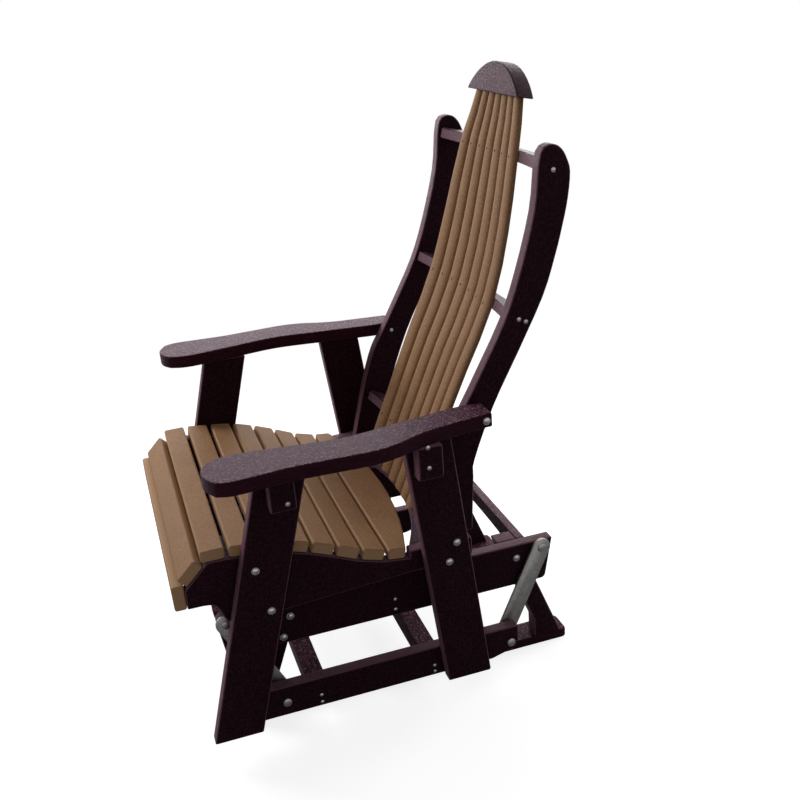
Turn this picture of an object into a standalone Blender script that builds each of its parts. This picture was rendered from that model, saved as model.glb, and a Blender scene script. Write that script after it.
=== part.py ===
"""Glider chair: a slatted seat and fan back that hang from a fixed base on four steel swing arms.

Metres, +Z up. The chair faces -Y and its left side is +X. The floor is z = 0.
"""
import math

import bmesh
import bpy
from mathutils import Vector

for leftover in list(bpy.data.objects):
    bpy.data.objects.remove(leftover, do_unlink=True)

# Sheet stock and clearances
board = 0.0254
slat_thick = 0.022
gap = 0.0003
ease = 0.0022
cut_over = 0.004
trim_share = 0.45

# Widths across the chair, worked out from the clear width between the legs
seat_half = 0.290
slat_end_gap = 0.0015
link_space = 0.019
side_out = seat_half - gap
side_in = side_out - board
upright_out = side_in - gap
upright_in = upright_out - board
base_out = side_in - link_space
base_in = base_out - board
slat_half = seat_half - slat_end_gap
leg_out = seat_half + board

# The swing linkage, seen from the side
pivot_mid = 0.0030
top_half = 0.3195
swing_splay = 0.0875
link_drop = 0.1815
runner_thick = 0.020
runner_clear = 0.0295
rail_under_pivot = 0.0295
pivot_inset = 0.011
pin_radius = 0.0045
pin_play = 0.0003
open_pivot_play = 0.0028
washer_radius = 0.0105
head_radius = 0.009
head_high = 0.005
arm_plate = 0.006
arm_plate_half = 0.019
rail_bottom = runner_thick + runner_clear
low_pivot_z = rail_bottom + rail_under_pivot
top_pivot_z = low_pivot_z + link_drop
base_top = top_pivot_z + pivot_inset
top_front_y = pivot_mid - top_half
top_rear_y = pivot_mid + top_half
low_half = top_half - swing_splay
low_front_y = pivot_mid - low_half
low_rear_y = pivot_mid + low_half

# Base
upper_rail_high = 0.0915
upper_rail_front_end = 0.0165
upper_rail_rear_end = 0.0295
upper_rail_front_rake = 0.011
upper_rail_rear_rake = 0.018
post_thick = 0.034
post_run = 0.0425
post_lean = 0.0965
post_heel = 0.043
front_post_inset = 0.1345
rear_post_inset = 0.061
runner_width = 0.058
runner_front_end = 0.012
runner_rear_end = 0.015
runner_round = 0.012
cross_thick = 0.019
cross_high = 0.038
cross_arch = 0.007
middle_cross_high = 0.052
middle_cross_inset = 0.010
post_in = base_in - gap - post_thick
post_out = base_in - gap

# Lower seat frame
lower_rail_high = 0.0655
lower_rail_rear_end = 0.017
lower_rail_front_cut = 0.0305
lower_rail_rear_cut = 0.058
lower_rail_rear_cut_high = 0.0135
stretcher_size = 0.038
stretcher_clear = 0.050
stretcher_pitch = 0.234

# Legs
leg_width = 0.089
front_leg_lean = 0.144
rear_leg_lean = 0.056
front_leg_space = 0.046
rear_leg_space = 0.059
leg_foot_drop = 0.0035
leg_corner = 0.004

# Seat heights, counted up from the top of the base
deck_space = 0.0465
rear_seat_rail_high = 0.0255
seat_rise = 0.088
seat_front_rise = 0.1175
seat_nose = 0.0412
seat_back_space = 0.0559
slat_gap_front = 0.0095
slat_gap_rear = 0.0060
slat_count = 8
seat_round = 0.004
deck = base_top + deck_space
deck_top = deck + rear_seat_rail_high
seat_curve_shares = [(0.0, 0.989), (0.095, 1.0), (0.24, 0.936), (0.39, 0.84), (0.508, 0.68),
                     (0.63, 0.466), (0.75, 0.23), (0.87, 0.07), (1.0, 0.0)]

# Back
back_foot_y = 0.0960
back_rise = 0.783
back_reach = 0.286
slat_foot_under = 0.0125
hollow_low = 0.0256
hollow_high = 0.0203
fan_half = 0.162
fan_slat_gap = 0.0013
fan_count = 7
fan_thick = 0.0127
fan_crown = 0.0085
back_seat_gap = 0.012
back_rail_thick = 0.022
back_rail_deep = 0.045
station_reach = 0.0132
station_step = 0.0585
crown_shares = (-0.72, -0.28, 0.28, 0.72)
spine_shares = [(0.0, 0.0), (0.141, 0.171), (0.3525, 0.4335), (0.4449, 0.5594), (0.5064, 0.6364),
                (0.586, 0.7168), (0.7026, 0.8042), (0.8244, 0.8811), (0.8897, 0.9231),
                (0.959, 0.9755), (1.0, 1.0)]
fan_width_shares = [(0.0, 0.972), (0.14, 0.988), (0.27, 1.0), (0.40, 1.012), (0.525, 1.022),
                    (0.654, 1.0), (0.782, 0.926), (0.885, 0.833), (1.0, 0.651)]
rail_height_shares = [0.141, 0.5365, 0.8744]

# Uprights: front edge from the crest down, rear edge from the foot up
crest_under_back = 0.073
crest_before_back = 0.010
upright_high = back_rise - crest_under_back
upright_reach = back_reach - crest_before_back
upright_front_shares = [(0.900, 0.984), (0.880, 0.945), (0.846, 0.840), (0.733, 0.689), (0.614, 0.571),
                        (0.418, 0.434), (0.304, 0.3587), (0.212, 0.300), (0.140, 0.228),
                        (0.104, 0.1830), (0.070, 0.1390), (0.033, 0.0850), (-0.010, 0.0200)]
upright_rear_shares = [(0.320, 0.0), (0.349, 0.155), (0.364, 0.205), (0.516, 0.347), (0.704, 0.4805),
                       (0.896, 0.621), (0.990, 0.721), (1.0485, 0.800), (1.088, 0.8665), (1.105, 0.930),
                       (1.083, 0.962), (1.055, 0.983), (1.015, 0.997), (0.965, 1.001), (0.925, 0.996)]
upright_toe_share = 0.034
upright_foot_share = -0.024
rail_back_share = 0.69
rail_set_back = 0.0035
rail_hollow_low = 0.0501

# Cap
cap_overhang = 0.0175
cap_high = 0.058
cap_thick = 0.034
cap_back = 0.009

# Arms
arm_rise = 0.2614
arm_thick = 0.027
arm_width = 0.1167
arm_nose = 0.090
arm_tail = 0.035
arm_round = 0.010
arm_ease = 0.0044
bracket_width = 0.046
bracket_high = 0.068
bracket_thick = 0.034
bracket_round = 0.026
bracket_shift = 0.010
arm_under = deck + arm_rise
arm_inner_shares = [(0.030, 0.20), (0.082, 0.105), (0.156, 0.100), (0.334, 0.212), (0.469, 0.280),
                    (0.568, 0.245), (0.668, 0.169), (0.801, 0.080), (0.880, 0.020), (0.930, 0.0)]
arm_outer_shares = [(0.985, 0.50), (0.801, 0.62), (0.710, 0.74), (0.640, 0.88), (0.570, 0.955),
                    (0.497, 0.966), (0.304, 0.927), (0.184, 0.966), (0.080, 1.0), (0.030, 0.93)]
arm_tip_shares = [(0.006, 0.72), (0.0, 0.55), (0.007, 0.37)]

# Side boards, apron and nosing
apron_high = 0.050
apron_thick = 0.022
apron_drop = 0.057
nosing_overhang = 0.014
nosing_gap = 0.003
side_belly = 0.053
side_heel = 0.027
side_tail = 0.012
side_belly_shares = [(0.0, 0.0), (0.072, 0.03), (0.098, 0.25), (0.118, 0.78), (0.150, 1.0)]


def share_curve(shares, start, size, steps=5):
    """A smooth run of points through a table of shares, scaled to a start and a size."""
    knots = [Vector((start[0] + s[0] * size[0], start[1] + s[1] * size[1])) for s in shares]
    return smooth(knots, steps)


def smooth(knots, steps):
    """Catmull-Rom points through the knots."""
    ends = [2 * knots[0] - knots[1]] + knots + [2 * knots[-1] - knots[-2]]
    points = []
    for i in range(1, len(ends) - 2):
        a, b, c, d = ends[i - 1:i + 3]
        for step in range(steps):
            t = step / steps
            points.append(0.5 * ((2 * b) + (c - a) * t + (2 * a - 5 * b + 4 * c - d) * t ** 2
                                 + (3 * b - a - 3 * c + d) * t ** 3))
    points.append(ends[-2])
    return points


def lengths(points):
    """Distance travelled along the points up to each one."""
    run = [0.0]
    for a, b in zip(points, points[1:]):
        run.append(run[-1] + (b - a).length)
    return run


def along(points, distance):
    """Point and direction at a distance along the points."""
    run = lengths(points)
    last = len(points) - 2
    i = max(0, min(last, sum(1 for r in run[1:] if r < distance)))
    step = points[i + 1] - points[i]
    return points[i] + step * ((distance - run[i]) / step.length), step.normalized()


def cross_at(points, axis, value):
    """The other coordinate where the points first pass a value."""
    for a, b in zip(points, points[1:]):
        low, high = sorted((a[axis], b[axis]))
        if low <= value <= high and high > low:
            return a[1 - axis] + (b[1 - axis] - a[1 - axis]) * (value - a[axis]) / (b[axis] - a[axis])
    end = points[-1] if abs(points[-1][axis] - value) < abs(points[0][axis] - value) else points[0]
    return end[1 - axis]


def read_table(shares, value):
    """Straight-line value from a table of shares."""
    for (a, fa), (b, fb) in zip(shares, shares[1:]):
        if value <= b:
            return fa + (fb - fa) * (value - a) / (b - a)
    return shares[-1][1]


def meet(p, d, q, e):
    """Where the line from p along d meets the line from q along e."""
    det = d[0] * e[1] - d[1] * e[0]
    t = ((q[0] - p[0]) * e[1] - (q[1] - p[1]) * e[0]) / det
    return Vector((p[0] + d[0] * t, p[1] + d[1] * t))


def fillet(corners, radii, steps=4):
    """Round the corners of an outline by their radii."""
    out = []
    count = len(corners)
    for i in range(count):
        here = Vector(corners[i])
        before = Vector(corners[i - 1]) - here
        after = Vector(corners[(i + 1) % count]) - here
        angle = before.angle(after)
        trim = min(radii[i] / math.tan(angle / 2), trim_share * before.length, trim_share * after.length)
        if trim <= 0:
            out.append(here)
            continue
        start = here + before.normalized() * trim
        end = here + after.normalized() * trim
        for step in range(steps + 1):
            t = step / steps
            out.append((1 - t) ** 2 * start + 2 * t * (1 - t) * here + t ** 2 * end)
    return out


def material(name, colour, roughness, metallic):
    made = bpy.data.materials.new(name)
    made.use_nodes = True
    shader = next(n for n in made.node_tree.nodes if n.type == "BSDF_PRINCIPLED")
    shader.inputs["Base Color"].default_value = (*colour, 1.0)
    shader.inputs["Roughness"].default_value = roughness
    shader.inputs["Metallic"].default_value = metallic
    return made


dark_board = material("dark_plastic_board", (0.020, 0.011, 0.013), 0.48, 0.0)
tan_board = material("tan_plastic_board", (0.242, 0.141, 0.084), 0.62, 0.0)
steel = material("grey_steel", (0.36, 0.36, 0.35), 0.38, 1.0)


def empty(name, place, parent=None):
    holder = bpy.data.objects.new(name, None)
    bpy.context.scene.collection.objects.link(holder)
    holder.location = place
    holder.empty_display_size = board
    adopt(holder, parent)
    return holder


def adopt(child, parent):
    """Parent a piece and keep it where it is."""
    if parent is None:
        return
    child.parent = parent
    bpy.context.view_layer.update()
    child.matrix_parent_inverse = parent.matrix_world.inverted()


def finish(name, mesh_data, place, turn, look, parent, edge, segments):
    bmesh.ops.recalc_face_normals(mesh_data, faces=mesh_data.faces)
    mesh = bpy.data.meshes.new(name)
    mesh_data.to_mesh(mesh)
    mesh_data.free()
    mesh.materials.append(look)
    made = bpy.data.objects.new(name, mesh)
    bpy.context.scene.collection.objects.link(made)
    made.location = place
    made.rotation_euler = (turn, 0.0, 0.0)
    bpy.context.view_layer.update()
    if edge > 0:
        bevel = made.modifiers.new("eased_edges", "BEVEL")
        bevel.width = edge
        bevel.segments = segments
        bevel.limit_method = "ANGLE"
        bevel.angle_limit = math.radians(42)
    adopt(made, parent)
    return made


def plate(name, outline, axis, low, high, look, parent, place=(0, 0, 0), turn=0.0, edge=None, segments=1):
    """A flat board: an outline extruded along one axis, at a place that its points are counted from."""
    mesh_data = bmesh.new()
    base = Vector(place) if turn == 0 else Vector((0, 0, 0))
    flat = [i for i in range(3) if i != axis]
    ring = []
    for point in outline:
        spot = [0.0, 0.0, 0.0]
        spot[axis] = low - base[axis]
        spot[flat[0]] = point[0] - base[flat[0]]
        spot[flat[1]] = point[1] - base[flat[1]]
        ring.append(mesh_data.verts.new(spot))
    face = mesh_data.faces.new(ring)
    grown = bmesh.ops.extrude_face_region(mesh_data, geom=[face])
    step = [0.0, 0.0, 0.0]
    step[axis] = high - low
    moved = [v for v in grown["geom"] if isinstance(v, bmesh.types.BMVert)]
    bmesh.ops.translate(mesh_data, vec=step, verts=moved)
    return finish(name, mesh_data, place, turn, look, parent, ease if edge is None else edge, segments)


def round_radius(radius, sides):
    """Corner radius of a many-sided hole whose flats clear a round pin."""
    return radius / math.cos(math.pi / sides)


def drill(target, spot, radius, reach, sides=20):
    """A round hole along X through a board, cut by a hidden wire cylinder."""
    mesh_data = bmesh.new()
    bmesh.ops.create_cone(mesh_data, cap_ends=True, segments=sides, radius1=round_radius(radius, sides),
                          radius2=round_radius(radius, sides), depth=reach)
    mesh = bpy.data.meshes.new(target.name + "_cutter")
    mesh_data.to_mesh(mesh)
    mesh_data.free()
    cutter = bpy.data.objects.new(target.name + "_cutter", mesh)
    bpy.context.scene.collection.objects.link(cutter)
    cutter.rotation_euler = (0.0, math.pi / 2, 0.0)
    cutter.location = spot
    cutter.hide_render = True
    cutter.display_type = "WIRE"
    bpy.context.view_layer.update()
    adopt(cutter, target)
    cut = target.modifiers.new("hole", "BOOLEAN")
    cut.operation = "DIFFERENCE"
    cut.solver = "EXACT"
    cut.object = cutter


sides = [("left", 1), ("right", -1)]
base = empty("base_frame", (0.0, 0.0, 0.0))
seat = empty("seat_frame", (0.0, low_rear_y, low_pivot_z), base)

# Base: rails, posts, runners and cross boards
post_slope = post_lean / (base_top - runner_thick)
upper_front = top_front_y - upper_rail_front_end
upper_rear = top_rear_y + upper_rail_rear_end
rail_low = base_top - upper_rail_high
front_post_y = top_front_y + front_post_inset
rear_post_y = top_rear_y - rear_post_inset


def post_outline(top_y, way, rabbet):
    """Side view of a leaning post with an upright heel; way is +1 where the foot goes to the rear.

    A rabbet is an upright seat for the cross board, cut that far down the outer edge.
    """
    inner_top = top_y - way * post_run / 2
    outer_top = top_y + way * post_run / 2
    foot = runner_thick + gap
    top = base_top
    slope = way * post_slope
    heel_y = inner_top + slope * (top - foot - post_heel)
    seat_cut = [(outer_top, top)]
    if rabbet > 0:
        seat_cut += [(outer_top, top - rabbet), (outer_top + slope * rabbet, top - rabbet)]
    return [(inner_top, top)] + seat_cut + [(outer_top + slope * (top - foot), foot),
                                            (heel_y, foot), (heel_y, foot + post_heel)]


def upper_rail_outline():
    corners = [(upper_front, base_top - pivot_inset), (upper_front + pivot_inset, base_top),
               (upper_rear, base_top), (upper_rear - upper_rail_rear_rake, rail_low),
               (upper_front + upper_rail_front_rake, rail_low)]
    return fillet(corners, [pivot_inset, pivot_inset, 0, pivot_inset, 0])


for side, way in sides:
    rail = plate("upper_rail_" + side, upper_rail_outline(), 0, way * base_out, way * base_in, dark_board,
                 base, (way * base_out, top_rear_y, top_pivot_z))
    for pivot_y in (top_front_y, top_rear_y):
        drill(rail, (way * (base_out + base_in) / 2, pivot_y, top_pivot_z), pin_radius + pin_play,
              board + cut_over)
    for end, top_y, lean_way, rabbet in (("front", front_post_y, -1, 0.0),
                                         ("rear", rear_post_y, 1, cross_high + gap)):
        plate("post_" + end + "_" + side, post_outline(top_y, lean_way, rabbet), 0, way * post_out,
              way * post_in, dark_board, base, (way * post_out, top_y, runner_thick))
    foot_reach = post_run / 2 + post_lean
    runner_outline = fillet(
        [(way * post_out, front_post_y - foot_reach - runner_front_end),
         (way * post_out, rear_post_y + foot_reach + runner_rear_end),
         (way * (post_out - runner_width), rear_post_y + foot_reach + runner_rear_end),
         (way * (post_out - runner_width), front_post_y - foot_reach - runner_front_end)],
        [runner_round] * 4)
    plate("runner_" + side, runner_outline, 2, 0.0, runner_thick, dark_board, base,
          (way * (post_out - runner_width / 2), rear_post_y, 0.0), edge=ease)

cross_y = rear_post_y + post_run / 2 + gap
cross_half = base_in - gap


def cross_outline():
    """Rear view: straight along the top and arched along the bottom between the posts."""
    arch = [(cross_half, base_top), (cross_half, base_top - cross_high)]
    for i in range(11):
        x = post_in - 2 * post_in * i / 10
        arch.append((x, base_top - cross_high + cross_arch * (1 - (x / post_in) ** 2)))
    return arch + [(-cross_half, base_top - cross_high), (-cross_half, base_top)]


plate("cross_board_rear", cross_outline(), 1, cross_y, cross_y + cross_thick, dark_board, base,
      (0.0, cross_y, base_top))
plate("cross_board_middle",
      [(-cross_half, rail_low), (cross_half, rail_low), (cross_half, rail_low + middle_cross_high),
       (-cross_half, rail_low + middle_cross_high)],
      1, pivot_mid + middle_cross_inset - board / 2, pivot_mid + middle_cross_inset + board / 2,
      dark_board, base, (0.0, pivot_mid + middle_cross_inset, rail_low))

# Legs
leg_bottom = rail_bottom - leg_foot_drop
leg_top = arm_under - gap
front_leg_slope = front_leg_lean / (leg_top - leg_bottom)
rear_leg_slope = rear_leg_lean / (leg_top - leg_bottom)
front_leg_run = leg_width * math.hypot(1, front_leg_slope)
rear_leg_run = leg_width * math.hypot(1, rear_leg_slope)
rise_to_pivot = low_pivot_z - leg_bottom
front_foot_y = low_front_y - front_leg_space - front_leg_run - front_leg_slope * rise_to_pivot
rear_foot_y = low_rear_y - rear_leg_space - rear_leg_run + rear_leg_slope * rise_to_pivot


def leg_y(end, z):
    """Front edge of a leg at a height."""
    if end == "front":
        return front_foot_y + front_leg_slope * (z - leg_bottom)
    return rear_foot_y - rear_leg_slope * (z - leg_bottom)


def leg_outline(end, run):
    corners = [(leg_y(end, leg_bottom), leg_bottom), (leg_y(end, leg_bottom) + run, leg_bottom),
               (leg_y(end, leg_top) + run, leg_top), (leg_y(end, leg_top), leg_top)]
    return fillet(corners, [leg_corner, leg_corner, 0, 0], 3)


def bracket_outline(way):
    """Front view of an arm bracket: flat against the leg, with a fully rounded lower outer corner."""
    near = leg_out + gap
    far = near + bracket_thick
    low = leg_top - bracket_high
    corners = [(way * near, leg_top), (way * near, low), (way * far, low), (way * far, leg_top)]
    return fillet(corners, [0, leg_corner, bracket_round, 0], 6)


legs = [("front", front_leg_run, 0.0), ("rear", rear_leg_run, bracket_shift)]
for side, way in sides:
    for end, run, shift in legs:
        foot = (way * seat_half, leg_y(end, leg_bottom), leg_bottom)
        plate("leg_" + end + "_" + side, leg_outline(end, run), 0, way * seat_half, way * leg_out,
              dark_board, seat, foot)
        middle = leg_y(end, leg_top - bracket_high / 2) + run / 2 - shift
        plate("bracket_" + end + "_" + side, bracket_outline(way), 1, middle - bracket_width / 2,
              middle + bracket_width / 2, dark_board, seat, (way * leg_out, middle, leg_top))

# Lower rails and the sticks between them
front_post_edge = front_post_y + post_run / 2 - post_slope * (base_top - rail_bottom - stretcher_size)
front_stick_y = front_post_edge + stretcher_clear + stretcher_size / 2
rail_front = front_foot_y + lower_rail_front_cut + front_leg_slope * leg_foot_drop
rail_rear = low_rear_y + lower_rail_rear_end
rail_top = rail_bottom + lower_rail_high


def lower_rail_outline():
    corners = [(rail_front, rail_bottom), (rail_rear - lower_rail_rear_cut, rail_bottom),
               (rail_rear - lower_rail_rear_end / 2, rail_bottom + lower_rail_rear_cut_high),
               (rail_rear, rail_bottom + rail_under_pivot), (rail_rear, rail_top), (rail_front, rail_top)]
    return fillet(corners, [0, leg_corner, lower_rail_rear_cut_high, lower_rail_rear_end, leg_corner, 0])


for side, way in sides:
    rail = plate("lower_rail_" + side, lower_rail_outline(), 0, way * side_in, way * side_out, dark_board,
                 seat, (way * side_in, low_rear_y, low_pivot_z))
    middle_x = way * (side_in + side_out) / 2
    drill(rail, (middle_x, low_rear_y, low_pivot_z), pin_radius + pin_play, board + cut_over)
    drill(rail, (middle_x, low_front_y, low_pivot_z), pin_radius + open_pivot_play, board + cut_over)

for end, middle in (("front", front_stick_y), ("rear", front_stick_y + stretcher_pitch)):
    half = stretcher_size / 2
    stick = [(middle - half, rail_bottom), (middle + half, rail_bottom),
             (middle + half, rail_bottom + stretcher_size), (middle - half, rail_bottom + stretcher_size)]
    plate("stretcher_" + end, stick, 0, -(side_in - gap), side_in - gap, dark_board, seat,
          (0.0, middle, rail_bottom))

# The spine: the centre line of the back slats' rear faces, seen from the side
spine_foot = (back_foot_y, deck_top - slat_foot_under)
spine = share_curve([(reach, rise) for rise, reach in spine_shares], spine_foot, (back_reach, back_rise), 8)
spine_run = lengths(spine)[-1]
foot_z = deck_top + gap


def hollow(rise_share):
    """Curvature of the barrel at a share of the back's height."""
    depth = hollow_low + (hollow_high - hollow_low) * rise_share
    return depth / upright_in ** 2


def spine_at(distance):
    """Point, direction and share of the height at a distance up the spine."""
    reach = back_rail_thick / 2
    centre = min(max(distance, reach), spine_run - reach)
    heading = along(spine, centre + reach)[0] - along(spine, centre - reach)[0]
    point = along(spine, distance)[0]
    return point, heading.normalized(), (point[1] - spine_foot[1]) / back_rise


def spine_distance(rise_share):
    target = spine_foot[1] + rise_share * back_rise
    run = lengths(spine)
    for i in range(len(spine) - 1):
        if spine[i + 1][1] >= target:
            share = (target - spine[i][1]) / (spine[i + 1][1] - spine[i][1])
            return run[i] + share * (run[i + 1] - run[i])
    return run[-1]


def back_section(distance, index):
    """One cross section of a back slat: flat behind, straight edges, crowned in front."""
    point, tangent, rise = spine_at(distance)
    normal = Vector((-tangent[1], tangent[0]))
    pitch = 2 * fan_half * read_table(fan_width_shares, rise) / fan_count
    half = (pitch - fan_slat_gap) / 2
    x = (index - (fan_count - 1) / 2) * pitch
    bend = hollow(rise)
    tilt = math.atan(2 * bend * x)
    edge_high = fan_thick - fan_crown
    profile = [(-half, 0.0), (-half, edge_high)]
    for share in crown_shares:
        profile.append((half * share, edge_high + fan_crown * math.sqrt(1 - share ** 2)))
    profile += [(half, edge_high), (half, 0.0)]
    ring = []
    for across, out in profile:
        side_x = x + across * math.cos(tilt) - out * math.sin(tilt)
        lift = bend * x * x + across * math.sin(tilt) + out * math.cos(tilt)
        ring.append(Vector((side_x, point[0] + normal[0] * lift, point[1] + normal[1] * lift)))
    return ring


def slat_stations():
    """Sections along a slat: one either side of each back rail and even steps between.

    The slat stands on the rear seat rail.
    """
    foot = spine_distance((foot_z - spine_foot[1]) / back_rise)
    stops = [foot]
    for rise_share in rail_height_shares:
        centre = spine_distance(rise_share)
        stops += [centre - station_reach, centre + station_reach]
    stops.append(spine_run)
    stations = [foot]
    for low, high in zip(stops, stops[1:]):
        count = max(1, round((high - low) / station_step))
        stations += [low + (high - low) * (i + 1) / count for i in range(count)]
    return stations


def back_slat(index):
    """A slat of the fan back, lofted along the spine and closed at both ends."""
    mesh_data = bmesh.new()
    stations = slat_stations()
    rings = []
    place = Vector((0.0, *spine_foot))
    for distance in stations:
        rings.append([mesh_data.verts.new(p - place) for p in back_section(distance, index)])
    for a, b in zip(rings, rings[1:]):
        for i in range(len(a)):
            j = (i + 1) % len(a)
            mesh_data.faces.new((a[i], a[j], b[j], b[i]))
    mesh_data.faces.new(rings[0])
    mesh_data.faces.new(rings[-1])
    finish("back_slat_" + str(index + 1), mesh_data, place, 0.0, tan_board, seat, 0.0, 1)


for index in range(fan_count):
    back_slat(index)

# Three curved rails carry the fan between the uprights
seat_on = gap + hollow(0) * (fan_half / fan_count) ** 2


def back_rail(name, rise_share):
    point, tangent, rise = spine_at(spine_distance(rise_share))
    half = upright_in - gap
    bend = hollow(rise)
    hollow_edge = []
    for i in range(13):
        x = half - 2 * half * i / 12
        hollow_edge.append((x, seat_on - bend * x * x))
    back = back_rail_deep - bend * half * half
    outline = [(-half, back), (half, back)] + hollow_edge
    lean = math.atan2(tangent[0], tangent[1])
    plate(name, outline, 2, -back_rail_thick / 2, back_rail_thick / 2, dark_board, seat,
          (0.0, point[0], point[1]), -lean)


for name, rise_share in zip(("back_rail_low", "back_rail_middle", "back_rail_high"), rail_height_shares):
    back_rail(name, rise_share)

# Uprights stand on the rear seat rail
upright_base = (back_foot_y - upright_toe_share * upright_reach, foot_z)
upright_size = (upright_reach, upright_high)
upright_front = share_curve(upright_front_shares, upright_base, upright_size, 3)
upright_rear = share_curve(upright_rear_shares, upright_base, upright_size, 3)
toe_foot = (upright_base[0] + upright_foot_share * upright_reach, foot_z)
for side, way in sides:
    plate("upright_" + side, upright_front + [toe_foot] + upright_rear, 0, way * upright_in,
          way * upright_out, dark_board, seat, (way * upright_in, back_foot_y, foot_z))

# Rear seat rail: its front is hollowed deeper than the fan that stands on it
low_tangent = spine_at(0.0)[1]
lean_cos = low_tangent[1]
rail_face_y = cross_at(spine, 1, deck_top) + seat_on + rail_set_back
rail_half = side_in - gap
rail_bend = rail_hollow_low / upright_in ** 2
rail_face = []
for i in range(15):
    x = rail_half - 2 * rail_half * i / 14
    rail_face.append((x, rail_face_y - rail_bend * x * x))
rail_back_y = back_foot_y + rail_back_share * (upright_rear[0][0] - back_foot_y)
plate("rear_seat_rail", [(-rail_half, rail_back_y), (rail_half, rail_back_y)] + rail_face, 2, deck,
      deck_top, dark_board, seat, (0.0, rail_back_y, deck))

# Seat slats follow a scooped curve
seat_rear_y = back_foot_y - seat_back_space
seat_front_y = leg_y("front", deck) - seat_nose
seat_depth = seat_rear_y - seat_front_y
seat_low_z = deck_top + seat_front_rise - seat_rise - slat_thick
seat_line = share_curve(seat_curve_shares, (seat_front_y, seat_low_z), (seat_depth, seat_rise), 4)
slat_gaps = [slat_gap_front + (slat_gap_rear - slat_gap_front) * i / (slat_count - 2)
             for i in range(slat_count - 1)]
slat_width = (lengths(seat_line)[-1] - sum(slat_gaps)) / slat_count
slat_spots = []
travel = 0.0
for index in range(slat_count):
    start = along(seat_line, travel)[0]
    stop = along(seat_line, travel + slat_width)[0]
    heading = (stop - start).normalized()
    slat_spots.append((start, heading))
    if index < slat_count - 1:
        travel += slat_width + slat_gaps[index]


def last_slat_width(x):
    """Width of the last slat, whose rear edge follows the hollow of the back slats behind it."""
    start, heading = slat_spots[-1]
    under_z = start[1] - slat_thick
    face_y = cross_at(spine, 1, max(under_z, spine_foot[1])) - fan_thick / lean_cos - back_seat_gap
    return (face_y - hollow(0) * x * x / lean_cos - start[0]) / heading[0]


def last_slat_edge():
    across = [slat_half - 2 * slat_half * i / 10 for i in range(11)]
    return [(x, last_slat_width(x)) for x in across]


for index, (start, heading) in enumerate(slat_spots):
    tilt = math.atan2(heading[1], heading[0])
    if index < slat_count - 1:
        far = [(slat_half, slat_width), (-slat_half, slat_width)]
    else:
        far = last_slat_edge()
    outline = [(-slat_half, 0.0), (slat_half, 0.0)] + far
    plate("seat_slat_" + str(index + 1), outline, 2, -slat_thick, 0.0, tan_board, seat,
          (0.0, start[0], start[1]), tilt, seat_round, 2)

# Apron, and the nosing that turns the corner from apron to seat at 45 degrees
apron_rear = seat_front_y - apron_thick - nosing_overhang - gap
apron_top = slat_spots[0][0][1] - apron_drop
apron_low = apron_top - apron_high
plate("apron", [(apron_rear - apron_thick, apron_low), (apron_rear, apron_low), (apron_rear, apron_top),
                (apron_rear - apron_thick, apron_top)],
      0, -slat_half, slat_half, tan_board, seat, (0.0, apron_rear, apron_low), edge=seat_round, segments=2)
diagonal = Vector((1.0, 1.0)).normalized()
inward = Vector((diagonal[1], -diagonal[0]))
corner = Vector((apron_rear, apron_top))
first_under = slat_spots[0][0] + Vector((slat_spots[0][1][1], -slat_spots[0][1][0])) * slat_thick
nosing_start = corner + diagonal * gap - inward * nosing_overhang
nosing_width = (first_under - nosing_start).dot(diagonal) - nosing_gap
nosing_corners = [(-slat_half, 0.0), (slat_half, 0.0), (slat_half, nosing_width), (-slat_half, nosing_width)]
plate("nosing_slat", nosing_corners, 2, -slat_thick, 0.0, tan_board, seat,
      (0.0, nosing_start[0], nosing_start[1]), math.pi / 4, seat_round, 2)

# Side boards carry every seat slat on their scooped top edge
side_front = apron_rear + gap
side_rear = rail_back_y + side_tail
nosing_back = nosing_start + inward * (slat_thick + gap)
bottom_z = apron_low


def side_outline():
    under = []
    for start, heading in slat_spots:
        down = Vector((heading[1], -heading[0])) * (slat_thick + gap)
        under.append((start + down, start + heading * slat_width + down, heading))
    front_low = meet(nosing_back, diagonal, (side_front, 0.0), (0.0, 1.0))
    front_high = meet(nosing_back, diagonal, under[0][0], under[0][2])
    top = [front_low, front_high, under[0][1]]
    for near, far, heading in under[1:-1]:
        top += [near, far]
    near, far, heading = under[-1]
    stop = near + heading * (last_slat_width(side_in) + slat_gap_rear / 2)
    shelf_z = min(stop[1] + slat_thick, deck_top)
    top += [near, stop, Vector((stop[0] + gap, shelf_z))]
    run = side_rear - side_front
    belly = share_curve(side_belly_shares, (side_front, bottom_z), (run, -side_belly), 3)
    heel = Vector((side_rear, bottom_z - side_belly + side_heel))
    rear = fillet([Vector((side_rear - side_tail, shelf_z)), Vector((side_rear, shelf_z)), heel,
                   Vector((side_rear - side_tail, heel[1] - side_tail * side_heel / run))],
                  [0, side_tail, side_tail / 2, 0], 3)
    return top + rear + belly[::-1]


for side, way in sides:
    plate("side_board_" + side, side_outline(), 0, way * side_in, way * side_out, dark_board, seat,
          (way * side_in, side_front, bottom_z))

# Cap over the top ends of the fan
top_point, top_tangent, _ = spine_at(spine_run)
cap_half = fan_half * fan_width_shares[-1][1] + cap_overhang
cap_lean = math.atan2(top_tangent[0], top_tangent[1])
cap_radius = (cap_half ** 2 + cap_high ** 2) / (2 * cap_high)
cap_spread = math.asin(min(1.0, cap_half / cap_radius))
cap_outline = []
for i in range(17):
    angle = cap_spread - 2 * cap_spread * i / 16
    cap_rise = cap_radius * math.cos(angle) - cap_radius + cap_high + gap
    cap_outline.append((-cap_radius * math.sin(angle), cap_rise))
plate("top_cap", cap_outline, 1, -cap_thick + cap_back, cap_back, dark_board, seat,
      (0.0, top_point[0], top_point[1]), -cap_lean)

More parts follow.
